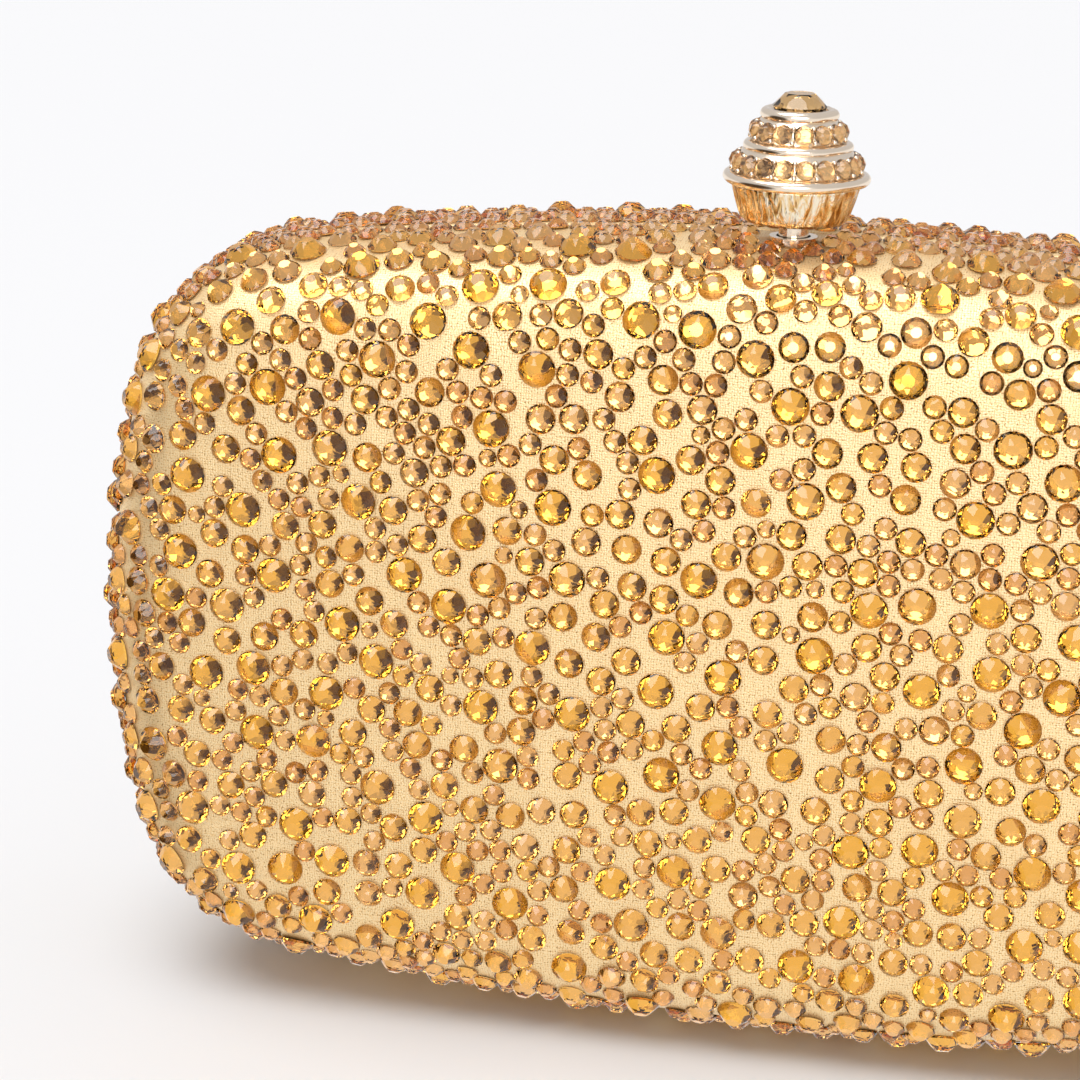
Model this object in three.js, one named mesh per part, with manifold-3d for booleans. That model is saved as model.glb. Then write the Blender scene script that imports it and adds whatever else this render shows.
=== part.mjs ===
// Hard-shell evening bag: two moulded half shells covered in gold cloth and set all over with
// small crystals, hinged along the bottom and shut by a press knob on top.
// Millimetres, +Z up. The bag stands on z = 0, is centred on x = 0, and parts at y = 0.
// The front faces -Y.
import * as THREE from 'three';
import { mergeVertices } from 'three/addons/utils/BufferGeometryUtils.js';
import Module from 'manifold-3d';

const wasm = await Module();
wasm.setup();

// ---- driving dimensions: the outside form, over the stones ----
const WIDTH = 192;
const HEIGHT = 115;
const TOP_ARC_RADIUS = 530;
const SIDE_ARC_RADIUS = 130;
const CORNER_RADIUS = 27;
const EDGE_DEPTH = 23;
const EDGE_WIDTH = 16;
const EDGE_SQUARENESS = 2.8;
const FACE_CROWN = 3;
const FOOT_DIP = 0.9;

// ---- walls ----
const STONE_LAYER = 1.8;
const CLOTH = 0.7;
const SHELL = 1.6;
const LINING = 0.8;
const GAP = 0.3;
const SEAM_GAP = 0.15;
const STONE_SETBACK = 1.2;
const FOOT_SETBACK = 2.2;
const FOOT_RELIEF = 8;

// ---- rim frames ----
const FRAME_BAND = 1.2;
const FRAME_DEPTH = 6;
const LIP_THICKNESS = 1;
const LIP_REACH = 1.5;
const LIP_ROOT = 2.3;

// ---- hinge ----
const HINGE_LENGTH = 44;
const KNUCKLES = 5;
const KNUCKLE_RADIUS = 1.5;
const HINGE_HEIGHT = 1.55;
const PIN_RADIUS = 0.6;
const PIN_CLEARANCE = 0.15;
const LEAF_THICKNESS = 0.5;
const LEAF_INSET = 1.4;
const LEAF_REACH = 6;
const RIVET_RADIUS = 0.6;
const RIVET_HEAD_RADIUS = 1.1;
const RIVET_HEAD = 0.3;
const RIVET_SPREAD = 12;

// ---- latch ----
const STEM_SETBACK = 6.25;
const STEM_RADIUS = 2;
const STEM_TIP_RADIUS = 1.2;
const HOOK_OVERLAP = 0.8;
const HOOK_THICKNESS = 0.8;
const PLATE_THICKNESS = 0.9;
const PLATE_WIDTH = 9;
const TONGUE_WIDTH = 8;
const TONGUE_DROP = 1.1;
const TONGUE_STEP = 0.6;
const HOUSING_WALL = 1;
const HOUSING_DROP = 0.9;
const HOUSING_HEIGHT = 13;
const HOUSING_DEPTH = 6;
const HOUSING_FLANGE = 4;
const NUT_HEIGHT = 1.5;
const NUT_RADIUS = 2.4;
const NUT_SIDES = 6;
const SPRING_WIRE = 0.25;
const SPRING_TURNS = 4;
const FERRULE_WALL = 0.5;
const FERRULE_FLANGE = 0.4;
const SCREW_RADIUS = 0.7;
const SCREW_HEAD_RADIUS = 1.3;
const SCREW_HEAD = 0.6;

// ---- knob, from the bottom of its cup upwards ----
const KNOB_LIFT = 2.8;
const CUP_BOTTOM_RADIUS = 7;
const CUP_TOP_RADIUS = 8.5;
const CUP_HEIGHT = 5.1;
const CUP_SOCKET = 3;
const LOWER_RING_RADIUS = 9.65;
const MID_RING_RADIUS = 7.2;
const TOP_RING_RADIUS = 5.1;
const RING_HEIGHT = 0.8;
const LOWER_STONE = 2.75;
const UPPER_STONE = 2.7;
const STONE_DEPTH = 1.4;
const TIER_INSET = 0.6;
const GEM_RADIUS = 3.6;
const GEM_HEIGHT = 2;
const GEM_GIRDLE = 0.67;
const GEM_TABLE_RADIUS = 1.8;
const STONE_CLEARANCE = 1;

// ---- pocket ----
const POCKET_WIDTH = 96;
const POCKET_HEIGHT = 52;
const POCKET_CLOTH = 0.8;
const POCKET_CORNER = 6;

// ---- faceting ----
const TOP_STEPS = 3;
const CORNER_STEPS = 4;
const SIDE_STEPS = 2;
const ROUND_STEPS = 20;
const SMALL_STEPS = 12;
const WIRE_STEPS = 3;
const POCKET_STEPS = 4;
const EDGE_TURNS = [0.9, 1.25, Math.PI / 2];
const OVERCUT = 1;

// ---- levels measured in from the outside form ----
const clothOuter = STONE_LAYER + GAP;
const clothInner = clothOuter + CLOTH;
const shellOuter = clothInner + GAP;
const shellInner = shellOuter + SHELL;
const liningOuter = shellInner + GAP;
const liningInner = liningOuter + LINING;
const bandOuter = shellInner + GAP;
const bandInner = bandOuter + FRAME_BAND;
const lipOuter = bandInner + GAP;
const lipInner = lipOuter + LIP_THICKNESS;
const halfWidth = WIDTH / 2;
const halfHeight = HEIGHT / 2;
const centreZ = halfHeight - FOOT_DIP;

// ---- outline arcs: the corner arc touches the top arc and the side arc inside ----
const topCentreZ = halfHeight - TOP_ARC_RADIUS;
const sideCentreX = halfWidth - SIDE_ARC_RADIUS;
const corner = arcCentre(
  [0, topCentreZ], TOP_ARC_RADIUS - CORNER_RADIUS,
  [sideCentreX, 0], SIDE_ARC_RADIUS - CORNER_RADIUS,
);
const topEnd = Math.atan2(corner[1] - topCentreZ, corner[0]);
const sideEnd = Math.atan2(corner[1], corner[0] - sideCentreX);

// The point at given distances from two centres, on the side of larger x and z.
function arcCentre(p, reachP, q, reachQ) {
  const dx = q[0] - p[0];
  const dz = q[1] - p[1];
  const span = Math.hypot(dx, dz);
  const along = (reachP ** 2 - reachQ ** 2 + span ** 2) / (2 * span);
  const across = Math.sqrt(reachP ** 2 - along ** 2);
  return [p[0] + (along * dx + across * dz) / span, p[1] + (along * dz - across * dx) / span];
}

function arc(centre, radius, from, to, steps) {
  return Array.from({ length: steps }, (_, i) => {
    const angle = from + ((to - from) * i) / steps;
    return [centre[0] + radius * Math.cos(angle), centre[1] + radius * Math.sin(angle)];
  });
}

// The outline drawn in by `inset`: one quarter from arcs, then its mirror images.
function outline(inset) {
  const quarter = [
    ...arc([0, topCentreZ], TOP_ARC_RADIUS - inset, Math.PI / 2, topEnd, TOP_STEPS),
    ...arc(corner, CORNER_RADIUS - inset, topEnd, sideEnd, CORNER_STEPS),
    ...arc([sideCentreX, 0], SIDE_ARC_RADIUS - inset, sideEnd, 0, SIDE_STEPS),
    [halfWidth - inset, 0],
  ];
  const lower = quarter.slice(0, -1).reverse().map(([x, z]) => [x, -z]);
  const right = [...quarter, ...lower];
  const left = right.slice(1, -1).reverse().map(([x, z]) => [-x, z]);
  return [...right, ...left];
}

// Where the edge section stands at `turn` (0 at the seam, a quarter turn at the face).
function edgePoint(level, turn) {
  const power = 2 / EDGE_SQUARENESS;
  const inset = level + (EDGE_WIDTH - level) * (1 - Math.cos(turn) ** power);
  const depth = (EDGE_DEPTH - level) * Math.sin(turn) ** power;
  return { inset, depth };
}

function turnAtDepth(level, depth) {
  return Math.asin((depth / (EDGE_DEPTH - level)) ** (EDGE_SQUARENESS / 2));
}

function insetAtDepth(level, depth) {
  return edgePoint(level, turnAtDepth(level, depth)).inset;
}

// The height of a level's inner or outer face at the top of the bag, over the stem.
function topOfLevel(level) {
  return centreZ + halfHeight - insetAtDepth(level, STEM_SETBACK);
}

function footTurn(level) {
  const rise = Math.max(0, 1 - FOOT_DIP / (EDGE_WIDTH - level));
  return Math.acos(rise ** (EDGE_SQUARENESS / 2));
}

// ---- solids ----
function solidFrom(positions, triangles) {
  const geometry = new THREE.BufferGeometry();
  geometry.setAttribute('position', new THREE.BufferAttribute(new Float32Array(positions.flat()), 3));
  let volume = 0;
  for (const [i, j, k] of triangles) {
    const [a, b, c] = [positions[i], positions[j], positions[k]];
    volume += a[0] * (b[1] * c[2] - b[2] * c[1]);
    volume += a[1] * (b[2] * c[0] - b[0] * c[2]);
    volume += a[2] * (b[0] * c[1] - b[1] * c[0]);
  }
  const outward = volume > 0 ? triangles : triangles.map(([i, j, k]) => [i, k, j]);
  geometry.setIndex(outward.flat());
  return geometry;
}

// Rings joined one after another; the run closes on itself or ends in a point at each end.
function loft(rings, { closed = false, first = null, last = null } = {}) {
  const count = rings[0].length;
  const positions = rings.flat();
  const triangles = [];
  const bridge = (a, b) => {
    for (let i = 0; i < count; i += 1) {
      const j = (i + 1) % count;
      triangles.push([a + i, b + i, b + j], [a + i, b + j, a + j]);
    }
  };
  for (let r = 0; r + 1 < rings.length; r += 1) bridge(r * count, (r + 1) * count);
  if (closed) bridge((rings.length - 1) * count, 0);
  if (first) {
    positions.push(first);
    for (let i = 0; i < count; i += 1) triangles.push([positions.length - 1, i, (i + 1) % count]);
  }
  if (last) {
    positions.push(last);
    const base = (rings.length - 1) * count;
    for (let i = 0; i < count; i += 1) {
      triangles.push([positions.length - 1, base + ((i + 1) % count), base + i]);
    }
  }
  return solidFrom(positions, triangles);
}

// A ring of the outline at depth y; the bag's foot is cut flat at the ground.
function ringAt(inset, y) {
  return outline(inset).map(([x, z]) => [x, y, Math.max(0, centreZ + z)]);
}

// The face's crown starts at the seam and grows over the edge, so that it meets the face smoothly.
// One lift for each outline point, where the edge section stands at `inset`.
function crownLifts(level, inset) {
  const over = (inset - level) / (EDGE_WIDTH - level);
  return outline(EDGE_WIDTH).map(([x, z]) => {
    const reach = Math.hypot(x, z);
    const rim = reach / (reach + EDGE_WIDTH);
    return FACE_CROWN * (1 - (1 - (1 - rim) * over) ** 2);
  });
}

// One face of a dished half: rings from the seam over the edge, and the middle of the face.
// Every level has a ring beside the frame's inner edge, so that the levels stay parallel there.
function dishedFace(side, level, seamDepth) {
  const besideFrame = turnAtDepth(level, FRAME_DEPTH + GAP);
  const start = turnAtDepth(level, seamDepth);
  const overEdge = [footTurn(level), ...EDGE_TURNS];
  const turns = start < besideFrame ? [start, besideFrame, ...overEdge] : [start, ...overEdge];
  const rings = turns.map((turn) => {
    const { inset, depth } = edgePoint(level, turn);
    const lifts = crownLifts(level, inset);
    return ringAt(inset, side * depth).map(([x, y, z], i) => [x, y + side * lifts[i], z]);
  });
  return { rings, middle: [0, side * (EDGE_DEPTH + FACE_CROWN - level), centreZ] };
}

// A dished wall between two levels, cut square at `seamDepth` from the parting plane.
function dishedWall(side, outer, inner, seamDepth) {
  const outside = dishedFace(side, outer, seamDepth);
  const inside = dishedFace(side, inner, seamDepth);
  const run = [...outside.rings].reverse().concat(inside.rings);
  return loft(run, { first: outside.middle, last: inside.middle });
}

// A frame swept round the outline from section points [level, y].
function sweptFrame(section) {
  return loft(section.map(([level, y]) => ringAt(level, y)), { closed: true });
}

function box(x0, x1, y0, y1, z0, z1) {
  const geometry = new THREE.BoxGeometry(x1 - x0, y1 - y0, z1 - z0);
  return geometry.translate((x0 + x1) / 2, (y0 + y1) / 2, (z0 + z1) / 2);
}

// A turned piece on a vertical axis, from [radius, z] points that start and end on the axis
// or close on themselves.
function turned(profile, x, y, steps = ROUND_STEPS) {
  const points = profile.map(([radius, z]) => new THREE.Vector2(radius, z));
  return new THREE.LatheGeometry(points, steps).rotateX(Math.PI / 2).translate(x, y, 0);
}

function post(radius, x, y, z0, z1, steps = ROUND_STEPS) {
  return turned([[0, z0], [radius, z0], [radius, z1], [0, z1]], x, y, steps);
}

// A bar along X, from an outline in Y and Z.
function barAlongX(points, x0, x1) {
  const shape = new THREE.Shape(points.map(([y, z]) => new THREE.Vector2(y, z)));
  const geometry = new THREE.ExtrudeGeometry(shape, { depth: x1 - x0, bevelEnabled: false });
  const axes = new THREE.Matrix4().makeBasis(
    new THREE.Vector3(0, 1, 0), new THREE.Vector3(0, 0, 1), new THREE.Vector3(1, 0, 0),
  );
  return geometry.applyMatrix4(axes).translate(x0, 0, 0);
}

function toManifold(geometry) {
  const plain = geometry.clone();
  plain.deleteAttribute('normal');
  plain.deleteAttribute('uv');
  const merged = mergeVertices(plain, 1e-5);
  const vertProperties = new Float32Array(merged.attributes.position.array);
  const triVerts = new Uint32Array(merged.index.array);
  return new wasm.Manifold(new wasm.Mesh({ numProp: 3, vertProperties, triVerts }));
}

function toGeometry(manifold) {
  const mesh = manifold.getMesh();
  const geometry = new THREE.BufferGeometry();
  geometry.setAttribute('position', new THREE.BufferAttribute(mesh.vertProperties, 3));
  geometry.setIndex(new THREE.BufferAttribute(mesh.triVerts, 1));
  return geometry;
}

function cut(geometry, ...tools) {
  return toGeometry(tools.reduce((body, tool) => body.subtract(toManifold(tool)), toManifold(geometry)));
}

function join(geometry, ...others) {
  return toGeometry(others.reduce((body, other) => body.add(toManifold(other)), toManifold(geometry)));
}

// ---- group and finishes ----
const bag = new THREE.Group();
const finishes = {
  crystal: { color: 0xd9a24a, roughness: 0.08, metalness: 0.0 },
  cloth: { color: 0xe6c178, roughness: 0.5, metalness: 0.4 },
  moulding: { color: 0x6a5236, roughness: 0.6, metalness: 0.0 },
  gold: { color: 0xe9c88f, roughness: 0.18, metalness: 1.0 },
  steel: { color: 0xb8b8bc, roughness: 0.35, metalness: 1.0 },
  satin: { color: 0xc9a56c, roughness: 0.55, metalness: 0.0 },
};

function place(name, geometry, finish) {
  const mesh = new THREE.Mesh(geometry, new THREE.MeshStandardMaterial(finishes[finish]));
  mesh.name = name;
  bag.add(mesh);
}

// ---- stem stack: heights down the latch, from the levels above it ----
const stemY = -STEM_SETBACK;
const boreRadius = STEM_RADIUS + GAP;
const ferruleRadius = boreRadius + FERRULE_WALL;
const clothTop = topOfLevel(clothOuter);
const cupZ = clothTop + KNOB_LIFT;
const frameInnerTop = centreZ + halfHeight - bandInner;
const tongueTop = centreZ + halfHeight - lipInner - HOOK_THICKNESS;
const tongueBottom = tongueTop - HOOK_THICKNESS;
const keeperLipBottom = tongueBottom - TONGUE_DROP;
const noseTop = keeperLipBottom + HOOK_OVERLAP;
const plateTop = noseTop - HOOK_OVERLAP - 2 * GAP - HOOK_OVERLAP / 2;
const plateBottom = plateTop - PLATE_THICKNESS;
const nutTop = plateBottom - GAP;
const nutBottom = nutTop - NUT_HEIGHT;
const housingTop = frameInnerTop - HOUSING_DROP;
const housingFloor = housingTop - HOUSING_HEIGHT;
const knobRadiusOverStones = CUP_BOTTOM_RADIUS + STONE_CLEARANCE;

const stemHole = () => post(ferruleRadius + GAP, 0, stemY, housingTop, cupZ);
const knobWell = () => post(knobRadiusOverStones, 0, stemY, housingTop, cupZ);

// ---- hinge room ----
const hingeHalf = HINGE_LENGTH / 2;
const roomHalf = hingeHalf + RIVET_HEAD + 2 * GAP;
const leafTop = centreZ - halfHeight + bandOuter - GAP;
const leafBottom = leafTop - LEAF_THICKNESS;

function barrelRoom() {
  const reach = KNUCKLE_RADIUS + 2 * GAP;
  return box(-roomHalf, roomHalf, -reach, reach, 0, HINGE_HEIGHT + reach + GAP);
}

// Along the foot the stones keep further back, so that the halves clear each other when open.
function footRoom() {
  return box(-halfWidth, halfWidth, -FOOT_SETBACK, FOOT_SETBACK, -OVERCUT, FOOT_RELIEF);
}

function leafRoom(side) {
  const reach = LEAF_REACH + 2 * GAP;
  const [y0, y1] = side < 0 ? [-reach, OVERCUT] : [-OVERCUT, reach];
  return box(-roomHalf, roomHalf, y0, y1, 0, leafTop + FRAME_BAND);
}

// ---- holes for rivets and screws ----
const rivetY = LEAF_INSET + (LEAF_REACH - LEAF_INSET) / 2;
const housingBack = -FRAME_DEPTH / 2 - GAP;
const housingFront = stemY - HOUSING_DEPTH / 2;
const housingHalf = PLATE_WIDTH / 2 + 2 * GAP + HOUSING_WALL;
const housingScrewX = housingHalf + HOUSING_FLANGE / 2;
const housingScrewY = -(FRAME_DEPTH / 2 + FRAME_DEPTH) / 2;
const keeperScrewX = TONGUE_WIDTH / 4;
const keeperScrewY = LIP_REACH + TONGUE_STEP + HOOK_THICKNESS + SCREW_HEAD_RADIUS;

function rivetHole(x, y) {
  return post(RIVET_RADIUS + GAP, x, y, 0, leafTop + 2 * FRAME_DEPTH, SMALL_STEPS);
}

function screwHole(x, y) {
  return post(SCREW_RADIUS + GAP, x, y, housingFloor + HOUSING_WALL, clothTop, SMALL_STEPS);
}

// ---- halves ----
function buildHalf(name, side) {
  const stemCuts = side < 0;
  const wells = stemCuts ? [knobWell()] : [];
  const holes = stemCuts ? [stemHole()] : [];
  const stones = dishedWall(side, 0, STONE_LAYER, STONE_SETBACK);
  const cloth = dishedWall(side, clothOuter, clothInner, SEAM_GAP);
  const shell = dishedWall(side, shellOuter, shellInner, SEAM_GAP);
  const lining = dishedWall(side, liningOuter, liningInner, FRAME_DEPTH + GAP);
  place(`${name}_crystals`, cut(stones, footRoom(), ...wells), 'crystal');
  place(`${name}_cover`, cut(cloth, barrelRoom(), ...holes), 'cloth');
  place(`${name}_shell`, cut(shell, barrelRoom(), leafRoom(side), ...holes), 'moulding');
  place(`${name}_lining`, stemCuts ? cut(lining, ...holes) : lining, 'satin');
}

function buildFrontFrame() {
  const section = [
    [bandOuter, -FRAME_DEPTH],
    [bandOuter, -SEAM_GAP],
    [lipOuter, -SEAM_GAP],
    [lipOuter, LIP_REACH],
    [lipInner, LIP_REACH],
    [lipInner, -LIP_ROOT],
    [bandInner, -LIP_ROOT],
    [bandInner, -FRAME_DEPTH],
  ];
  const holes = [-1, 1].flatMap((s) => [
    rivetHole(s * RIVET_SPREAD, -rivetY),
    screwHole(s * housingScrewX, housingScrewY),
  ]);
  place('front_frame', cut(sweptFrame(section), stemHole(), ...holes), 'gold');
}

function buildBackFrame() {
  const section = [
    [bandOuter, SEAM_GAP],
    [bandOuter, FRAME_DEPTH],
    [bandInner, FRAME_DEPTH],
    [bandInner, SEAM_GAP],
  ];
  const holes = [-1, 1].flatMap((s) => [
    rivetHole(s * RIVET_SPREAD, rivetY),
    screwHole(s * keeperScrewX, keeperScrewY),
  ]);
  place('back_frame', cut(sweptFrame(section), ...holes), 'gold');
}

// A flat patch of lining cloth sewn over the back lining, open along its top edge.
function buildPocket() {
  const half = POCKET_WIDTH / 2;
  const tall = POCKET_HEIGHT / 2;
  const shape = new THREE.Shape();
  shape.moveTo(-half, tall);
  shape.lineTo(-half, POCKET_CORNER - tall);
  shape.absarc(POCKET_CORNER - half, POCKET_CORNER - tall, POCKET_CORNER, Math.PI, 1.5 * Math.PI);
  shape.absarc(half - POCKET_CORNER, POCKET_CORNER - tall, POCKET_CORNER, 1.5 * Math.PI, 2 * Math.PI);
  shape.lineTo(half, tall);
  const options = { depth: POCKET_CLOTH, bevelEnabled: false, curveSegments: POCKET_STEPS };
  const geometry = new THREE.ExtrudeGeometry(shape, options).rotateX(Math.PI / 2);
  place('back_pocket', geometry.translate(0, EDGE_DEPTH - liningInner - GAP, centreZ), 'satin');
}

// ---- hinge ----
function knuckle(x0, x1) {
  const barrel = new THREE.CylinderGeometry(KNUCKLE_RADIUS, KNUCKLE_RADIUS, x1 - x0, ROUND_STEPS);
  return barrel.rotateZ(Math.PI / 2).translate((x0 + x1) / 2, 0, HINGE_HEIGHT);
}

function pinRoom() {
  const radius = PIN_RADIUS + PIN_CLEARANCE;
  const room = new THREE.CylinderGeometry(radius, radius, HINGE_LENGTH + 2 * OVERCUT, SMALL_STEPS);
  return room.rotateZ(Math.PI / 2).translate(0, 0, HINGE_HEIGHT);
}

// A leaf under its frame, with an arm down to each of its knuckles.
function hingeLeaf(side, takes) {
  const pitch = (HINGE_LENGTH + GAP) / KNUCKLES;
  const arm = [
    [side * PIN_RADIUS / 2, HINGE_HEIGHT + PIN_RADIUS + PIN_CLEARANCE + GAP / 2],
    [side * PIN_RADIUS / 2, HINGE_HEIGHT + KNUCKLE_RADIUS],
    [side * LEAF_INSET, leafTop],
    [side * (LEAF_INSET + LEAF_THICKNESS), leafTop],
    [side * (LEAF_INSET + LEAF_THICKNESS), leafBottom],
    [side * (KNUCKLE_RADIUS - GAP), HINGE_HEIGHT + PIN_RADIUS + PIN_CLEARANCE + GAP / 2],
  ];
  if (side < 0) arm.reverse();
  const [near, far] = side < 0 ? [-LEAF_REACH, -LEAF_INSET] : [LEAF_INSET, LEAF_REACH];
  const pieces = [];
  for (let i = 0; i < KNUCKLES; i += 1) {
    if (i % 2 !== takes) continue;
    const x0 = -hingeHalf + i * pitch;
    pieces.push(knuckle(x0, x0 + pitch - GAP), barAlongX(arm, x0, x0 + pitch - GAP));
  }
  const plate = box(-hingeHalf, hingeHalf, near, far, leafBottom, leafTop);
  const holes = [-1, 1].map((s) => rivetHole(s * RIVET_SPREAD, side * rivetY));
  return cut(join(plate, ...pieces), pinRoom(), ...holes);
}

function buildHinge() {
  place('hinge_front_leaf', hingeLeaf(-1, 0), 'gold');
  place('hinge_back_leaf', hingeLeaf(1, 1), 'gold');
  const end = hingeHalf + GAP;
  const head = end + RIVET_HEAD;
  const headRadius = PIN_RADIUS + GAP;
  const profile = [
    [0, -head], [headRadius, -head], [headRadius, -end], [PIN_RADIUS, -end],
    [PIN_RADIUS, end], [headRadius, end], [headRadius, head], [0, head],
  ];
  const pin = turned(profile, 0, 0, SMALL_STEPS).rotateY(Math.PI / 2).translate(0, 0, HINGE_HEIGHT);
  place('hinge_pin', pin, 'steel');
  const frameTop = centreZ - halfHeight + bandInner + RIVET_SPREAD ** 2 / TOP_ARC_RADIUS;
  buildRivets('front', -1, frameTop + GAP);
  buildRivets('back', 1, frameTop + GAP);
}

// Rivets through a leaf and its frame, headed at both ends.
function buildRivets(name, side, shoulder) {
  const foot = leafBottom - GAP;
  const profile = [
    [0, foot - RIVET_HEAD], [RIVET_HEAD_RADIUS, foot - RIVET_HEAD], [RIVET_HEAD_RADIUS, foot],
    [RIVET_RADIUS, foot], [RIVET_RADIUS, shoulder], [RIVET_HEAD_RADIUS, shoulder],
    [RIVET_HEAD_RADIUS, shoulder + RIVET_HEAD], [0, shoulder + RIVET_HEAD],
  ];
  for (const [end, s] of [['left', -1], ['right', 1]]) {
    const rivet = turned(profile, s * RIVET_SPREAD, side * rivetY, SMALL_STEPS);
    place(`hinge_${name}_rivet_${end}`, rivet, 'gold');
  }
}

// ---- latch ----
// A cage under the front frame: flanged roof, two walls and a floor, open to front and back.
function buildHousing() {
  const inner = housingHalf - HOUSING_WALL;
  const outer = housingHalf + HOUSING_FLANGE;
  const block = box(-housingHalf, housingHalf, housingFront, housingBack, housingFloor, housingTop);
  const flange = box(-outer, outer, housingFront, housingBack, housingTop - HOUSING_WALL, housingTop);
  const inside = box(
    -inner, inner, housingFront - OVERCUT, housingBack + OVERCUT,
    housingFloor + HOUSING_WALL, housingTop - HOUSING_WALL,
  );
  const bore = post(boreRadius, 0, stemY, housingTop - 2 * HOUSING_WALL, housingTop + OVERCUT);
  const holes = [-1, 1].map((s) => screwHole(s * housingScrewX, housingScrewY));
  place('latch_housing', cut(join(block, flange), inside, bore, ...holes), 'steel');
}

function buildFerrule() {
  const seat = clothTop + GAP;
  const flange = ferruleRadius + FERRULE_FLANGE;
  const foot = topOfLevel(shellInner);
  const profile = [
    [boreRadius, foot], [ferruleRadius, foot], [ferruleRadius, seat], [flange, seat],
    [flange, seat + FERRULE_WALL], [boreRadius, seat + FERRULE_WALL], [boreRadius, foot],
  ];
  place('stem_ferrule', turned(profile, 0, stemY), 'gold');
}

function buildStem() {
  const shoulder = plateTop + GAP;
  const tip = nutBottom - NUT_HEIGHT;
  const head = cupZ + CUP_SOCKET - GAP;
  const profile = [
    [0, tip], [STEM_TIP_RADIUS, tip], [STEM_TIP_RADIUS, shoulder],
    [STEM_RADIUS, shoulder], [STEM_RADIUS, head], [0, head],
  ];
  place('knob_stem', turned(profile, 0, stemY), 'gold');
}

// The plate on the stem reaches back towards the seam and turns up into a hooked nose.
const keeperLipFront = housingBack + GAP;
const noseFront = keeperLipFront + HOOK_THICKNESS + GAP;
function buildPlate() {
  const half = PLATE_WIDTH / 2;
  const plateFront = stemY - STEM_RADIUS - GAP;
  const plate = box(-half, half, plateFront, noseFront + HOOK_THICKNESS, plateBottom, plateTop);
  const noseHalf = TONGUE_WIDTH / 2;
  const nose = box(-noseHalf, noseHalf, noseFront, noseFront + HOOK_THICKNESS, plateBottom, noseTop);
  const hole = post(STEM_TIP_RADIUS + GAP, 0, stemY, plateBottom - OVERCUT, plateTop + OVERCUT, SMALL_STEPS);
  place('latch_plate', cut(join(plate, nose), hole), 'steel');
}

function buildNut() {
  const profile = [
    [STEM_TIP_RADIUS + GAP, nutBottom], [NUT_RADIUS, nutBottom],
    [NUT_RADIUS, nutTop], [STEM_TIP_RADIUS + GAP, nutTop], [STEM_TIP_RADIUS + GAP, nutBottom],
  ];
  place('stem_nut', turned(profile, 0, stemY, NUT_SIDES), 'steel');
}

function buildSpring() {
  const foot = housingFloor + HOUSING_WALL + GAP + SPRING_WIRE;
  const head = nutBottom - GAP - SPRING_WIRE;
  const radius = NUT_RADIUS - SPRING_WIRE;
  const helix = new THREE.Curve();
  helix.getPoint = (t, target = new THREE.Vector3()) => {
    const angle = 2 * Math.PI * SPRING_TURNS * t;
    return target.set(radius * Math.cos(angle), stemY + radius * Math.sin(angle), foot + (head - foot) * t);
  };
  const wire = new THREE.Shape().absarc(0, 0, SPRING_WIRE, 0, 2 * Math.PI);
  const steps = SPRING_TURNS * SMALL_STEPS;
  const options = { extrudePath: helix, steps, curveSegments: WIRE_STEPS, bevelEnabled: false };
  place('latch_spring', new THREE.ExtrudeGeometry(wire, options), 'steel');
}

// The keeper hangs from the back frame, steps down and reaches over the seam to its lip.
function buildKeeper() {
  const stepBack = LIP_REACH + TONGUE_STEP;
  const top = frameInnerTop - GAP;
  const arm = [
    [keeperLipFront, keeperLipBottom],
    [keeperLipFront + HOOK_THICKNESS, keeperLipBottom],
    [keeperLipFront + HOOK_THICKNESS, tongueBottom],
    [stepBack + HOOK_THICKNESS, tongueBottom],
    [stepBack + HOOK_THICKNESS, top - HOOK_THICKNESS],
    [FRAME_DEPTH, top - HOOK_THICKNESS],
    [FRAME_DEPTH, top],
    [stepBack, top],
    [stepBack, tongueTop],
    [keeperLipFront, tongueTop],
  ];
  const half = TONGUE_WIDTH / 2;
  const holes = [-1, 1].map((s) => screwHole(s * keeperScrewX, keeperScrewY));
  place('keeper_plate', cut(barAlongX(arm, -half, half), ...holes), 'steel');
}

function buildScrews(name, x, y, seat) {
  const tip = topOfLevel(bandOuter) - GAP / 2;
  const head = seat - GAP;
  const profile = [
    [0, head - SCREW_HEAD], [SCREW_HEAD_RADIUS, head - SCREW_HEAD], [SCREW_HEAD_RADIUS, head],
    [SCREW_RADIUS, head], [SCREW_RADIUS, tip], [0, tip],
  ];
  for (const [end, s] of [['left', -1], ['right', 1]]) {
    place(`${name}_screw_${end}`, turned(profile, s * x, y, SMALL_STEPS), 'steel');
  }
}

// ---- knob ----
function disc(name, radius, z0, height) {
  const round = height / 2;
  const profile = [
    [0, z0], [radius - round, z0], [radius, z0 + round], [radius - round, z0 + height], [0, z0 + height],
  ];
  place(name, turned(profile, 0, stemY), 'gold');
}

// A tier: a plain drum with a belt of stones round it.
function tier(name, radius, stone, z0) {
  const belt = radius - TIER_INSET;
  const core = belt - STONE_DEPTH - GAP;
  const bulge = STONE_DEPTH / 2;
  place(`knob_${name}_tier`, post(core, 0, stemY, z0, z0 + stone), 'gold');
  const profile = [
    [core + GAP, z0], [belt - bulge, z0], [belt, z0 + stone / 2],
    [belt - bulge, z0 + stone], [core + GAP, z0 + stone], [core + GAP, z0],
  ];
  place(`knob_${name}_stones`, turned(profile, 0, stemY), 'crystal');
}

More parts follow.
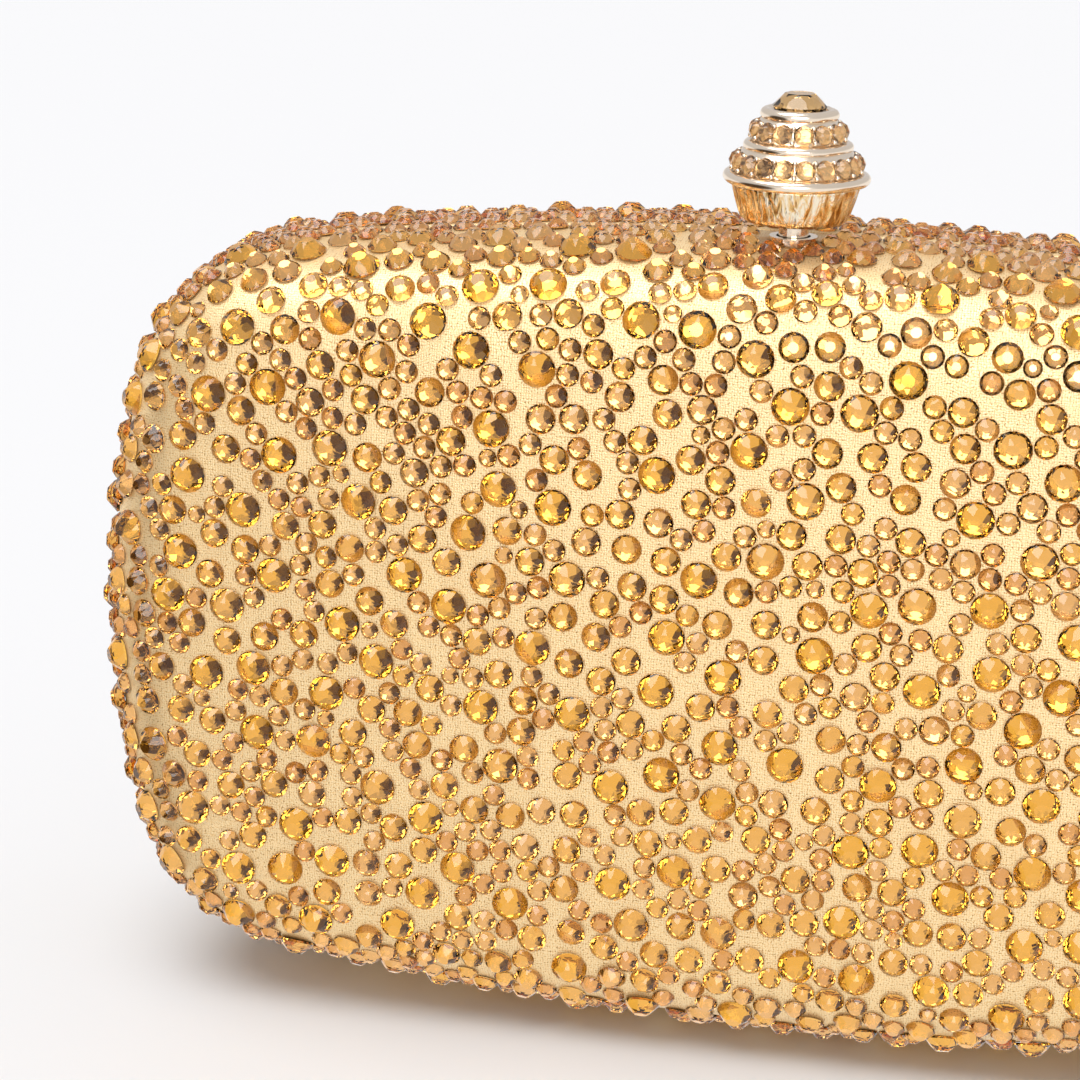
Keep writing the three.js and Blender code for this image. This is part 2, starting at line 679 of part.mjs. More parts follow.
function buildKnob() {
  const cup = [
    [0, cupZ], [CUP_BOTTOM_RADIUS, cupZ], [CUP_TOP_RADIUS, cupZ + CUP_HEIGHT], [0, cupZ + CUP_HEIGHT],
  ];
  const socket = post(boreRadius, 0, stemY, cupZ - OVERCUT, cupZ + CUP_SOCKET);
  place('knob_cup', cut(turned(cup, 0, stemY), socket), 'gold');
  let z = cupZ + CUP_HEIGHT + GAP;
  disc('knob_lower_ring', LOWER_RING_RADIUS, z, RING_HEIGHT);
  z += RING_HEIGHT + GAP;
  tier('lower', LOWER_RING_RADIUS, LOWER_STONE, z);
  z += LOWER_STONE + GAP;
  disc('knob_mid_ring', MID_RING_RADIUS, z, RING_HEIGHT);
  z += RING_HEIGHT + GAP;
  tier('upper', MID_RING_RADIUS, UPPER_STONE, z);
  z += UPPER_STONE + GAP;
  disc('knob_top_ring', TOP_RING_RADIUS, z, RING_HEIGHT);
  z += RING_HEIGHT + GAP;
  const gem = [
    [0, z], [GEM_RADIUS - GAP, z], [GEM_RADIUS, z + GEM_GIRDLE],
    [GEM_TABLE_RADIUS, z + GEM_HEIGHT], [0, z + GEM_HEIGHT],
  ];
  place('knob_top_gem', turned(gem, 0, stemY, SMALL_STEPS), 'crystal');
}

buildHalf('front', -1);
buildHalf('back', 1);
buildFrontFrame();
buildBackFrame();
buildPocket();
buildHinge();
buildHousing();
buildFerrule();
buildStem();
buildPlate();
buildNut();
buildSpring();
buildKeeper();
buildScrews('housing', housingScrewX, housingScrewY, housingTop - HOUSING_WALL);
buildScrews('keeper', keeperScrewX, keeperScrewY, frameInnerTop - GAP - HOOK_THICKNESS);
buildKnob();

export default bag;
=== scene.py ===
import math

import bpy
import bmesh
import numpy as np
from mathutils import Matrix, Vector
from mathutils.bvhtree import BVHTree


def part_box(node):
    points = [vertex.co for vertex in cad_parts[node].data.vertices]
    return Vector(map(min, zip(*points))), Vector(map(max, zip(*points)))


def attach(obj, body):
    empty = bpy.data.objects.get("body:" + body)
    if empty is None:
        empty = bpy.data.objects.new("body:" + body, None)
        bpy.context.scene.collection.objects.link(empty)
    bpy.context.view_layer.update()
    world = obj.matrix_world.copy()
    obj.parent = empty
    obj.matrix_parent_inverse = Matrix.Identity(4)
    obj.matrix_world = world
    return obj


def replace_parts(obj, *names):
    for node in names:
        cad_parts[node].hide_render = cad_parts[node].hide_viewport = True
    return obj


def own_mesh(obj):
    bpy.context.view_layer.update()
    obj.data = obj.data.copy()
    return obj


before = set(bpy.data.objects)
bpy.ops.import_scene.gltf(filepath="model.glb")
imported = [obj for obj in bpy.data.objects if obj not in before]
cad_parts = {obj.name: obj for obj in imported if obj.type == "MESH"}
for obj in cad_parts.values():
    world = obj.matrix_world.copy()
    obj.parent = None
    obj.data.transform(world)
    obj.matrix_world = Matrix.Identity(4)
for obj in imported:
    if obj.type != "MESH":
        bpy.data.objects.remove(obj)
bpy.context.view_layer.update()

# ---- Camera -------------------------------------------------------------------------------
# In front of the bag, above it and a little to its right, and so close that its right-hand end
# lies outside the frame.
MM = 0.001
FOOT_DIP = 0.9 * MM
low_stone, high_stone = (corner.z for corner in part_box("back_crystals"))
middle_z = (low_stone + high_stone - FOOT_DIP) / 2
CAMERA_TURN = math.radians(11.9)
CAMERA_PITCH = math.radians(17.0)
CAMERA_ROLL = math.radians(1.4)
CAMERA_DISTANCE = 380 * MM
CAMERA_AIM = Vector((-28.9 * MM, -26 * MM, middle_z + 17.4 * MM))
FRAME_WIDTH = 141.5 * MM

ahead = Vector((
    -math.sin(CAMERA_TURN) * math.cos(CAMERA_PITCH),
    math.cos(CAMERA_TURN) * math.cos(CAMERA_PITCH),
    -math.sin(CAMERA_PITCH),
))
across = Vector((math.cos(CAMERA_TURN), math.sin(CAMERA_TURN), 0))
upward = across.cross(ahead)
rolled_across = across * math.cos(CAMERA_ROLL) + upward * math.sin(CAMERA_ROLL)
rolled_up = upward * math.cos(CAMERA_ROLL) - across * math.sin(CAMERA_ROLL)
camera = bpy.data.objects.new("camera", bpy.data.cameras.new("camera"))
camera.matrix_world = Matrix((
    (rolled_across.x, rolled_up.x, -ahead.x, 0),
    (rolled_across.y, rolled_up.y, -ahead.y, 0),
    (rolled_across.z, rolled_up.z, -ahead.z, 0),
    (0, 0, 0, 1),
))
camera.location = CAMERA_AIM - ahead * CAMERA_DISTANCE
camera.data.sensor_width = 36
camera.data.lens = camera.data.sensor_width * CAMERA_DISTANCE / FRAME_WIDTH
camera.data.clip_start = 0.01
bpy.context.scene.collection.objects.link(camera)
bpy.context.scene.camera = camera

# ---- Gold cloth over the two shells ---------------------------------------------------------
# A plain-woven metallic cloth, glued over each dished shell and turned over its rim. Both halves
# have one form: an outline of arcs, a squared edge, and a lightly crowned face.
stones_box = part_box("front_crystals")
cloth_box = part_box("front_cover")
HALF_WIDTH = stones_box[1].x / MM + 0.01
HALF_HEIGHT = 57.5
DEPTH = -stones_box[0].y / MM
FACE_CROWN = 3.0
EDGE_DEPTH = DEPTH - FACE_CROWN
EDGE_WIDTH = 16.0
EDGE_SQUARENESS = 2.8
TOP_ARC, SIDE_ARC, CORNER_ARC = 530.0, 130.0, 27.0
CENTRE_Z = middle_z / MM
CLOTH_LEVEL = 2.1
CLOTH_THICKNESS = 0.7
SEAM_GAP = 0.15
STEM_Y = (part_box("knob_stem")[0].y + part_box("knob_stem")[1].y) / 2 / MM
STEM_HOLE = 3.2
STEM_HOLE_SIDES = 48
FOOT_SETBACK = 2.2
FOOT_RELIEF = 8.0
AROUND = 56
EDGE_STEPS = 15
SEAM_STEPS = 6
SEAM_STRETCH = 0.55
FACE_SHARES = (0.94, 0.86, 0.75, 0.6, 0.45, 0.3, 0.15, 0.05)
RIM_ROUNDING = 0.3
RIM_PROFILE = ((0.12, 0.1), (0.35, 0), (0.65, 0), (0.88, 0.1))
THREAD_PITCH = 0.36
THREAD_WANDER = 5.0
# Cloth colours: a painted highlight for the thread tops, the gold itself, and painted shade for the pits.
CLOTH_TOP_HIGHLIGHT = (1.0, 0.79, 0.47, 1)
CLOTH_GOLD = (0.95, 0.65, 0.30, 1)
CLOTH_PIT_SHADE = (0.34, 0.17, 0.05, 1)
HALVES = (("front", -1), ("back", 1))
cup_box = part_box("knob_cup")


def outline(inset, steps):
    """The outline drawn in by inset, as points and outward normals, from arcs that touch."""
    low_z = HALF_HEIGHT - TOP_ARC
    low_x = HALF_WIDTH - SIDE_ARC
    reach_a, reach_b = TOP_ARC - CORNER_ARC, SIDE_ARC - CORNER_ARC
    dx, dz = low_x, -low_z
    span = math.hypot(dx, dz)
    along = (reach_a ** 2 - reach_b ** 2 + span ** 2) / (2 * span)
    beside = math.sqrt(reach_a ** 2 - along ** 2)
    corner = ((along * dx + beside * dz) / span, low_z + (along * dz - beside * dx) / span)
    top_end = math.atan2(corner[1] - low_z, corner[0])
    side_end = math.atan2(corner[1], corner[0] - low_x)
    arcs = [
        ((0, low_z), TOP_ARC, math.pi / 2, top_end, 0.42),
        (corner, CORNER_ARC, top_end, side_end, 0.33),
        ((low_x, 0), SIDE_ARC, side_end, 0, 0.25),
    ]
    points, normals = [], []
    for centre, radius, start, end, share in arcs:
        count = round(steps * share)
        reach = radius - inset
        for angle in np.linspace(start, end, count, endpoint=False):
            normal = (math.cos(angle), math.sin(angle))
            normals.append(normal)
            points.append((centre[0] + reach * normal[0], centre[1] + reach * normal[1]))
    points.append((HALF_WIDTH - inset, 0))
    normals.append((1, 0))
    quarter, facing = np.array(points), np.array(normals)
    flip_z, flip_x = np.array([1, -1]), np.array([-1, 1])
    right = np.concatenate([quarter, quarter[-2::-1] * flip_z])
    right_facing = np.concatenate([facing, facing[-2::-1] * flip_z])
    whole = np.concatenate([right, right[-2:0:-1] * flip_x])
    whole_facing = np.concatenate([right_facing, right_facing[-2:0:-1] * flip_x])
    return whole, whole_facing


def level_ring(side, level, depth=None, face_share=None):
    """One ring of points of a level: at a depth over the edge, or at a share of the face."""
    face_line = outline(EDGE_WIDTH, AROUND)[0]
    reach = np.hypot(face_line[:, 0], face_line[:, 1])
    rim = reach / (reach + EDGE_WIDTH)
    if face_share is None:
        power = 2 / EDGE_SQUARENESS
        turn = math.asin(min(1, depth / (EDGE_DEPTH - level)) ** (1 / power))
        over = 1 - math.cos(turn) ** power
        line = outline(level + (EDGE_WIDTH - level) * over, AROUND)[0]
        crown = FACE_CROWN * (1 - (1 - (1 - rim) * over) ** 2)
        y = depth + crown
    else:
        line = face_line * face_share
        y = EDGE_DEPTH - level + FACE_CROWN * (1 - (rim * face_share) ** 2)
    return np.stack([line[:, 0], side * y, CENTRE_Z + line[:, 1]], 1)


def level_rings(side, level, seam_depth):
    """Rings of one level from the seam to the middle of the face."""
    full = EDGE_DEPTH - level
    first_turn = math.asin((seam_depth / full) ** (EDGE_SQUARENESS / 2))
    turns = np.linspace(first_turn, math.pi / 2, EDGE_STEPS)
    near = np.linspace(seam_depth, full * SEAM_STRETCH, SEAM_STEPS)
    depths = sorted(set(near) | {full * math.sin(t) ** (2 / EDGE_SQUARENESS) for t in turns[1:]})
    depths = [d for i, d in enumerate(depths) if i == 0 or d - depths[i - 1] > 0.05]
    rings = [level_ring(side, level, depth=d) for d in depths]
    return rings + [level_ring(side, level, face_share=share) for share in FACE_SHARES]


def faced_outwards(mesh):
    shape = bmesh.new()
    shape.from_mesh(mesh)
    bmesh.ops.recalc_face_normals(shape, faces=shape.faces)
    shape.to_mesh(mesh)
    shape.free()


def new_piece(name, vertices, faces, body, *materials, smooth=True):
    """A mesh piece from points in millimetres, facing outwards, that rides on a body."""
    mesh = bpy.data.meshes.new(name)
    mesh.from_pydata([tuple(v * MM for v in p) for p in vertices], [], [tuple(f) for f in faces])
    faced_outwards(mesh)
    mesh.polygons.foreach_set("use_smooth", [smooth] * len(mesh.polygons))
    for material in materials:
        mesh.materials.append(material)
    piece = bpy.data.objects.new(name, mesh)
    bpy.context.scene.collection.objects.link(piece)
    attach(piece, body)
    return piece


def lofted(rings, closed=False, capped=True):
    """Points and quads of rings joined in turn, with a fan over each end unless closed."""
    count = len(rings[0])
    points = [tuple(p) for ring in rings for p in ring]
    faces = []
    last = len(rings) if closed else len(rings) - 1
    for r in range(last):
        a, b = r * count, (r + 1) % len(rings) * count
        faces += [(a + i, a + (i + 1) % count, b + (i + 1) % count, b + i) for i in range(count)]
    if capped and not closed:
        for base, ring in ((0, rings[0]), ((len(rings) - 1) * count, rings[-1])):
            points.append(tuple(np.mean(ring, 0)))
            faces += [(base + i, base + (i + 1) % count, len(points) - 1) for i in range(count)]
    return points, faces


def dished_wall(name, side, outer, thickness, seam_depth, body, *materials):
    """A dished wall between two levels, with its rim rounded at the seam."""
    rim_end = seam_depth + thickness * RIM_ROUNDING
    outside = level_rings(side, outer, rim_end)
    inside = level_rings(side, outer + thickness, rim_end)
    rim = [level_ring(side, outer + thickness * across_wall, depth=seam_depth + thickness * set_back)
           for across_wall, set_back in RIM_PROFILE]
    points, faces = lofted(outside[::-1] + rim + inside)
    return new_piece(name, points, faces, body, *materials)


def fixed(piece):
    """Makes what the piece's modifiers give into its plain mesh."""
    evaluated = piece.evaluated_get(bpy.context.evaluated_depsgraph_get())
    mesh = bpy.data.meshes.new_from_object(evaluated)
    piece.modifiers.clear()
    piece.data = mesh


def pierced(piece, tool):
    """Cuts a hole through the piece, and removes the cutter."""
    cut = piece.modifiers.new("hole", "BOOLEAN")
    cut.operation, cut.solver, cut.object = "DIFFERENCE", "EXACT", tool
    fixed(piece)
    bpy.data.objects.remove(tool)


def cutter(rings):
    """A plain closed solid through rings of points, for cutting with."""
    points, faces = lofted(rings)
    mesh = bpy.data.meshes.new("cutter")
    mesh.from_pydata([tuple(v * MM for v in p) for p in points], [], faces)
    made = bpy.data.objects.new("cutter", mesh)
    bpy.context.scene.collection.objects.link(made)
    return made


def stem_hole():
    """A cutter for the hole that the stem passes through, from inside up to the cup."""
    turns = np.linspace(0, math.tau, STEM_HOLE_SIDES, endpoint=False)
    circle = [(STEM_HOLE * math.cos(t), STEM_Y + STEM_HOLE * math.sin(t)) for t in turns]
    return cutter([[(x, y, z) for x, y in circle] for z in (CENTRE_Z, cup_box[1].z / MM)])


def foot_slot():
    """A cutter that clears the cloth beside the seam along the foot, where the halves turn."""
    reach = HALF_WIDTH + 1
    across_seam = (-FOOT_SETBACK, FOOT_SETBACK)
    corners = [(y, -1) for y in across_seam] + [(y, FOOT_RELIEF) for y in across_seam[::-1]]
    return cutter([[(x, y, z) for y, z in corners] for x in (-reach, reach)])


def unrolled(piece):
    """A UV map in metres that follows the cloth: the face as it lies, the edge rolled flat."""
    layer = piece.data.uv_layers.new(name="cloth")
    points = np.array([v.co for v in piece.data.vertices]) / MM
    flat = np.stack([points[:, 0], points[:, 2] - CENTRE_Z], 1)
    face_line, facing = outline(EDGE_WIDTH, AROUND)
    nearest = np.argmin(((flat[:, None, :] - face_line[None, :, :]) ** 2).sum(2), 1)
    beyond = ((flat - face_line[nearest]) * facing[nearest]).sum(1)
    depth = np.abs(points[:, 1])
    drop = np.clip(EDGE_DEPTH - depth, 0, None)
    over = np.where(beyond > 0, np.maximum(0, np.hypot(beyond, drop) - beyond), 0)
    uv = (flat + facing[nearest] * over[:, None]) * MM
    for loop in piece.data.loops:
        layer.data[loop.index].uv = uv[loop.vertex_index]


class Value:
    """A shader socket that takes part in sums; each operator adds a Math node."""

    def __init__(self, finish, socket):
        self.finish, self.socket = finish, socket

    def _math(self, operation, *terms):
        return self.finish.node("ShaderNodeMath", {"operation": operation}, *terms)

    def __add__(self, other):
        return self._math("ADD", self, other)

    def __rsub__(self, other):
        return self._math("SUBTRACT", other, self)

    def __mul__(self, other):
        return self._math("MULTIPLY", self, other)

    def sine(self):
        return self._math("SINE", self)

    def absolute(self):
        return self._math("ABSOLUTE", self)

    __radd__, __rmul__ = __add__, __mul__


def set_ramp(made, stops):
    """Gives a colour ramp node its stops, each (place, colour)."""
    elements = made.color_ramp.elements
    while len(elements) < len(stops):
        elements.new(0.5)
    for element, (place, colour) in zip(elements, stops):
        element.position, element.color = place, colour


class Finish:
    """A material made from nodes, with one method that makes them all."""

    def __init__(self, name, **surface):
        self.material = bpy.data.materials.new(name)
        self.material.use_nodes = True
        self.tree = self.material.node_tree
        self.surface = self.tree.nodes["Principled BSDF"]
        for socket, value in surface.items():
            self.surface.inputs[socket.replace("_", " ")].default_value = value

    def node(self, kind, settings=None, *values, out=0, **named):
        """A node of a kind, with settings, then its sockets' values or links, in order or by name."""
        made = self.tree.nodes.new(kind)
        settings = settings or {}
        for setting, value in settings.items():
            if setting == "ramp":
                set_ramp(made, value)
            else:
                setattr(made, setting, value)
        enabled = [socket for socket in made.inputs if socket.enabled]
        by_name = [(self._named(made, name), value) for name, value in named.items()]
        for socket, value in [*zip(enabled, values), *by_name]:
            if isinstance(value, Value):
                self.tree.links.new(value.socket, socket)
            elif value is not None:
                socket.default_value = value
        outputs = [socket for socket in made.outputs if socket.enabled]
        return Value(self, outputs[out])

    @staticmethod
    def _named(made, name):
        wanted = name.replace("_", " ")
        return next(s for s in made.inputs if s.enabled and s.name == wanted)

    def mix(self, factor, first, second):
        """A colour between two, or one of two socket colours."""
        return self.node("ShaderNodeMix", {"data_type": "RGBA"}, factor, first, second)

    def bump(self, height, strength, distance):
        return self.node("ShaderNodeBump", None, Height=height, Strength=strength, Distance=distance)

    def feed(self, **sockets):
        """Links into the surface: colour, roughness, metallic, normal and the like."""
        for name, value in sockets.items():
            self.tree.links.new(value.socket, self.surface.inputs[name.replace("_", " ")])


def woven_cloth():
    """Plain weave of foil-wrapped yarn: uneven, glinting thread tops with a painted highlight, and painted
    shade in the pits.
    """
    cloth = Finish("gold_cloth", Metallic=0.6, Specular_IOR_Level=0.6)
    uv = cloth.node("ShaderNodeUVMap", {"uv_map": "cloth"})
    wobble = cloth.node("ShaderNodeTexNoise", None, Vector=uv, Scale=1500.0, Detail=1.0)
    x = cloth.node("ShaderNodeSeparateXYZ", None, uv, out=0)
    y = cloth.node("ShaderNodeSeparateXYZ", None, uv, out=1)
    rate = math.pi / (THREAD_PITCH * MM)
    warp = (x * rate + wobble * THREAD_WANDER).sine()
    weft = (y * rate + wobble * THREAD_WANDER).sine()
    over_under = (warp * weft).absolute()
    grain = cloth.node("ShaderNodeTexNoise", None, Vector=uv, Scale=3600.0, Detail=2.0, Roughness=0.6)
    tops = over_under * 0.4 + grain * 0.9
    # The colour follows thread height: painted shade in the pits, a painted highlight on the thread tops.
    stops = [(0.36, CLOTH_PIT_SHADE), (0.47, CLOTH_GOLD), (0.8, CLOTH_TOP_HIGHLIGHT)]
    colour = cloth.node("ShaderNodeValToRGB", {"ramp": stops}, tops)
    cloth.feed(Base_Color=colour, Normal=cloth.bump(tops, 0.55, 0.1 * MM), Roughness=0.62 - tops * 0.3)
    return cloth.material


cloth_finish = woven_cloth()
for name, side in HALVES:
    cover = dished_wall(
        f"cloth_{name}", side, CLOTH_LEVEL, CLOTH_THICKNESS, SEAM_GAP, f"{name}_half", cloth_finish)
    pierced(cover, foot_slot())
    if side < 0:
        pierced(cover, stem_hole())
    unrolled(cover)
    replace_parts(cover, f"{name}_cover")

# ---- Stones -------------------------------------------------------------------------------
# Flat-back crystals of four sizes, cut with a table, eight kites and a ring of girdle facets,
# foiled behind and glued to the cloth one by one, with a straight row along each seam edge.
STONE_SIZES = {"large": 5.0, "medium": 4.05, "small": 3.15, "tiny": 2.5}
STONE_GAP = 0.06
SEAM_EDGE = 1.2
FOOT_EDGE = 2.3
CUP_SHADE = 8.6
FERRULE_EDGE = 3.25
STEPS = (-1, 0, 1)
SMALL = STONE_SIZES["small"] / 2
FOOT_STONE_HEIGHT = 2.6
STONES_PER_HALF = {"large": 190, "medium": 400}
TRIES_PER_STONE = 40
SPACING = {"large": 1.6, "medium": 0.4}
LOOSENESS = 0.13
TIES = 24
LEAN = 0.045
STONE_LIFT = 0.06
SPIN_SEED = 5
FILLING_TRIES = 14000
TINTS = {
    "amber": (0.99, 0.55, 0.10, 1),
    "honey": (0.97, 0.56, 0.17, 1),
    "peach": (0.93, 0.56, 0.25, 1),
    "topaz": (0.85, 0.46, 0.19, 1),
    "sand": (0.90, 0.62, 0.32, 1),
}
CHOICES = {
    "large": ("amber", "honey"), "medium": ("honey", "peach"), "small": ("peach", "honey", "topaz"),
    "tiny": ("peach",),
}
SHARES = {"large": (0.85, 1), "medium": (0.8, 1), "small": (0.5, 0.65, 1), "tiny": (1,)}
FAMILIES = [(tint, size) for size, tints in CHOICES.items() for tint in tints]


def cut_crown(levels, centre=(0, 0)):
    """Points and faces of a stone from its foot, belt, waist and table, each (radius, height).
    Under the table lie eight kites, with two girdle facets between each two."""
    points = []
    for (radius, z), count, shift in zip(levels, (16, 16, 8, 8), (0, 0, 0.5, 0)):
        turns = [math.tau / count * (i + shift) for i in range(count)]
        points += [(centre[0] + radius * math.cos(t), centre[1] + radius * math.sin(t), z) for t in turns]
    belt, waist, table = 16, 32, 40
    faces = [tuple(reversed(range(16))), tuple(range(table, table + 8))]
    faces += [(i, (i + 1) % 16, belt + (i + 1) % 16, belt + i) for i in range(16)]
    for i in range(8):
        after = (i + 1) % 8
        faces.append((table + i, table + after, waist + i)[::-1])
        faces.append((table + after, waist + i, belt + 2 * after, waist + after))
        faces.append((waist + i, belt + 2 * i, belt + 2 * i + 1))
        faces.append((waist + i, belt + 2 * i + 1, belt + (2 * i + 2) % 16))
    return points, faces


def pattern(name, points, faces, *materials):
    """A shape to lay many times, facing outwards, with a mark on each face that has a foil."""
    mesh = bpy.data.meshes.new(name)
    mesh.from_pydata(points, [], faces)
    faced_outwards(mesh)
    for material in materials:
        mesh.materials.append(material)
    mark = mesh.attributes.new("foil", "BOOLEAN", "FACE")
    mark.data.foreach_set("value", [len(p.vertices) == 16 for p in mesh.polygons])
    return bpy.data.objects.new(name, mesh)


def cut_stone(name, crown):
    """A stone of unit radius on z = 0, with its foil face below."""
    points, faces = cut_crown([(0.96, 0), (1, 0.12), (0.74, 0.45), (0.39, 0.76)])
    return pattern(name, points, faces, crown, foil_finish)


def glass(name, tint):
    return Finish(name, Base_Color=tint, Roughness=0.0, IOR=1.56, Transmission_Weight=1.0).material


foil_finish = Finish("stone_foil", Base_Color=(0.98, 0.86, 0.62, 1), Metallic=1.0, Roughness=0.06).material
glass_finishes = {tint: glass(f"stone_{tint}", colour) for tint, colour in TINTS.items()}


class StoneBed:
    """The cloth of one half, with the stones set on it so far kept in cells of space."""

    CELL = 5.0

    def __init__(self, side):
        points, faces = lofted(level_rings(side, CLOTH_LEVEL, SEAM_GAP), capped=False)
        self.tree = BVHTree.FromPolygons(points, faces)
        self.corners = np.array(points)[np.array(faces)]
        self.cells = {}

    def nearest(self, point):
        """The nearest point of the cloth, and its outward normal."""
        place, normal, _, _ = self.tree.find_nearest(Vector(point))
        if (place - Vector((0, 0, CENTRE_Z))).dot(normal) < 0:
            normal = -normal
        return place, normal

    def random_points(self, rng, count):
        """Points spread evenly over the cloth."""
        a, b, d = self.corners[:, 0], self.corners[:, 1], self.corners[:, 3]
        area = np.linalg.norm(np.cross(b - a, d - a), axis=1)
        pick = rng.choice(len(area), count, p=area / area.sum())
        u, v = rng.random((2, count, 1))
        return a[pick] + (b - a)[pick] * u + (d - a)[pick] * v

    def cell(self, point):
        return tuple(int(v // self.CELL) for v in point)

    def fits(self, point, radius, gap):
        """Whether a stone here clears the seam, the foot, the ferrule and every other stone."""
        edge = FOOT_EDGE if point.z < FOOT_RELIEF else SEAM_EDGE
        if abs(point.y) < edge + radius:
            return False
        from_stem = math.hypot(point.x, point.y - STEM_Y) if point.z > CENTRE_Z else HALF_WIDTH
        if from_stem < FERRULE_EDGE + radius:
            return False
        if radius > SMALL and (from_stem < CUP_SHADE + radius or point.z < FOOT_STONE_HEIGHT):
            return False
        return all((point - other).length > radius + reach + gap for other, reach in self.around(point))

    def put(self, point, radius):
        self.cells.setdefault(self.cell(point), []).append((point, radius))

    def around(self, point):
        """The stones in the cells round a point."""
        i, j, k = self.cell(point)
        cells = (self.cells.get((i + x, j + y, k + z), ()) for x in STEPS for y in STEPS for z in STEPS)
        return [stone for stones in cells for stone in stones]

    def nooks(self, point, normal, radius, new_radius, gap):
        """Places where a new stone would lie against this stone and a neighbour."""
        reach = radius + new_radius + gap
        for other, other_radius in self.around(point):
            away = other - point
            away -= normal * away.dot(normal)
            distance, other_reach = away.length, other_radius + new_radius + gap
            if 0.5 < distance < reach + other_reach:
                along = (distance ** 2 + reach ** 2 - other_reach ** 2) / (2 * distance)
                if abs(along) < reach:
                    toward = away / distance
                    square = normal.cross(toward) * math.sqrt(reach ** 2 - along ** 2)
                    yield point + toward * along + square
                    yield point + toward * along - square

    def ring(self, point, normal, radius, new_radius, gap):
        """Places where a new stone would lie against this one."""
        reach = radius + new_radius + gap
        across_ = normal.orthogonal().normalized()
        beside = normal.cross(across_)
        for turn in np.linspace(0, math.tau, TIES, endpoint=False):
            yield point + (across_ * math.cos(turn) + beside * math.sin(turn)) * reach


def spread(line, travelled, stops):
    """Points along a line at the given distances from its start."""
    return np.stack([np.interp(stops, travelled, line[:, axis]) for axis in range(3)], 1)


def seam_row(side):
    """Centres of the straight row of small stones along the seam edge."""
    ring = level_ring(side, CLOTH_LEVEL, depth=SEAM_EDGE + SMALL + 0.05)
    steps = np.linalg.norm(np.roll(ring, -1, 0) - ring, axis=1)
    length = steps.sum()
    count = int(length // (2 * SMALL + STONE_GAP * 1.4))
    travelled = np.concatenate([[0], np.cumsum(steps)])
    closed = np.concatenate([ring, ring[:1]])
    return spread(closed, travelled, np.arange(count) * length / count)


def set_stones(side, seed):
    """Where each family's stones go on one half: lists of (centre, normal, radius)."""
    rng = np.random.default_rng(seed)
    bed = StoneBed(side)
    placed = {family: [] for family in FAMILIES}

    def put(point, normal, size):
        radius = STONE_SIZES[size] / 2
        bed.put(point, radius)
        family = CHOICES[size][int(np.searchsorted(SHARES[size], rng.random()))]
        placed[(family, size)].append((point, normal, radius))
        return point, normal, radius

    front = []
    for centre in seam_row(side):
        point, normal = bed.nearest(centre)
        if bed.fits(point, SMALL, 0):
            front.append(put(point, normal, "small"))
    for size in ("large", "medium"):
        radius = STONE_SIZES[size] / 2
        left = STONES_PER_HALF[size]
        for spot in bed.random_points(rng, left * TRIES_PER_STONE):
            point, normal = bed.nearest(spot)
            if left and bed.fits(point, radius, SPACING[size]):
                front.append(put(point, normal, size))
                left -= 1
    rng.shuffle(front)
    nested, ringed = 0, 0
    while ringed < len(front):
        nesting = nested < len(front)
        point, normal, radius = front[nested if nesting else ringed]
        nested, ringed = nested + nesting, ringed + (not nesting)
        gap = STONE_GAP + LOOSENESS * rng.random() ** 2
        places = bed.nooks if nesting else bed.ring
        for place in places(point, normal, radius, SMALL, gap):
            spot, facing = bed.nearest(place)
            if bed.fits(spot, SMALL, STONE_GAP * 0.5):
                front.append(put(spot, facing, "small"))
                if not nesting:
                    ringed -= 1
                    break
    for spot in bed.random_points(rng, FILLING_TRIES):
        point, normal = bed.nearest(spot)
        if bed.fits(point, STONE_SIZES["tiny"] / 2, STONE_GAP * 0.5):
            put(point, normal, "tiny")
    return placed


def setting_tree(name, crown, foil_back):
    """Geometry Nodes: a shape on every point, turned as the point says, then made into real faces."""
    tree = bpy.data.node_groups.new(name, "GeometryNodeTree")
    socket = tree.interface.new_socket
    socket("Geometry", in_out="INPUT", socket_type="NodeSocketGeometry")
    socket("Shape", in_out="INPUT", socket_type="NodeSocketObject")
    socket("Size", in_out="INPUT", socket_type="NodeSocketFloat")
    socket("Geometry", in_out="OUTPUT", socket_type="NodeSocketGeometry")
    nodes, link = tree.nodes, tree.links.new
    entry, result = nodes.new("NodeGroupInput"), nodes.new("NodeGroupOutput")
    shape = nodes.new("GeometryNodeObjectInfo")
    link(entry.outputs["Shape"], shape.inputs["Object"])
    aim = nodes.new("GeometryNodeInputNamedAttribute")
    aim.data_type = "FLOAT_VECTOR"
    aim.inputs["Name"].default_value = "aim"
    turn = nodes.new("FunctionNodeEulerToRotation")
    link(aim.outputs["Attribute"], turn.inputs["Euler"])
    each = nodes.new("GeometryNodeInstanceOnPoints")
    link(entry.outputs["Geometry"], each.inputs["Points"])
    link(shape.outputs["Geometry"], each.inputs["Instance"])
    link(turn.outputs["Rotation"], each.inputs["Rotation"])
    link(entry.outputs["Size"], each.inputs["Scale"])
    real = nodes.new("GeometryNodeRealizeInstances")
    link(each.outputs["Instances"], real.inputs["Geometry"])
    coat = nodes.new("GeometryNodeSetMaterial")
    coat.inputs["Material"].default_value = crown
    link(real.outputs["Geometry"], coat.inputs["Geometry"])
    backs = nodes.new("GeometryNodeInputNamedAttribute")
    backs.data_type = "BOOLEAN"
    backs.inputs["Name"].default_value = "foil"
    silver = nodes.new("GeometryNodeSetMaterial")
    silver.inputs["Material"].default_value = foil_back
    link(coat.outputs["Geometry"], silver.inputs["Geometry"])
    link(backs.outputs["Attribute"], silver.inputs["Selection"])
    link(silver.outputs["Geometry"], result.inputs["Geometry"])
    return tree


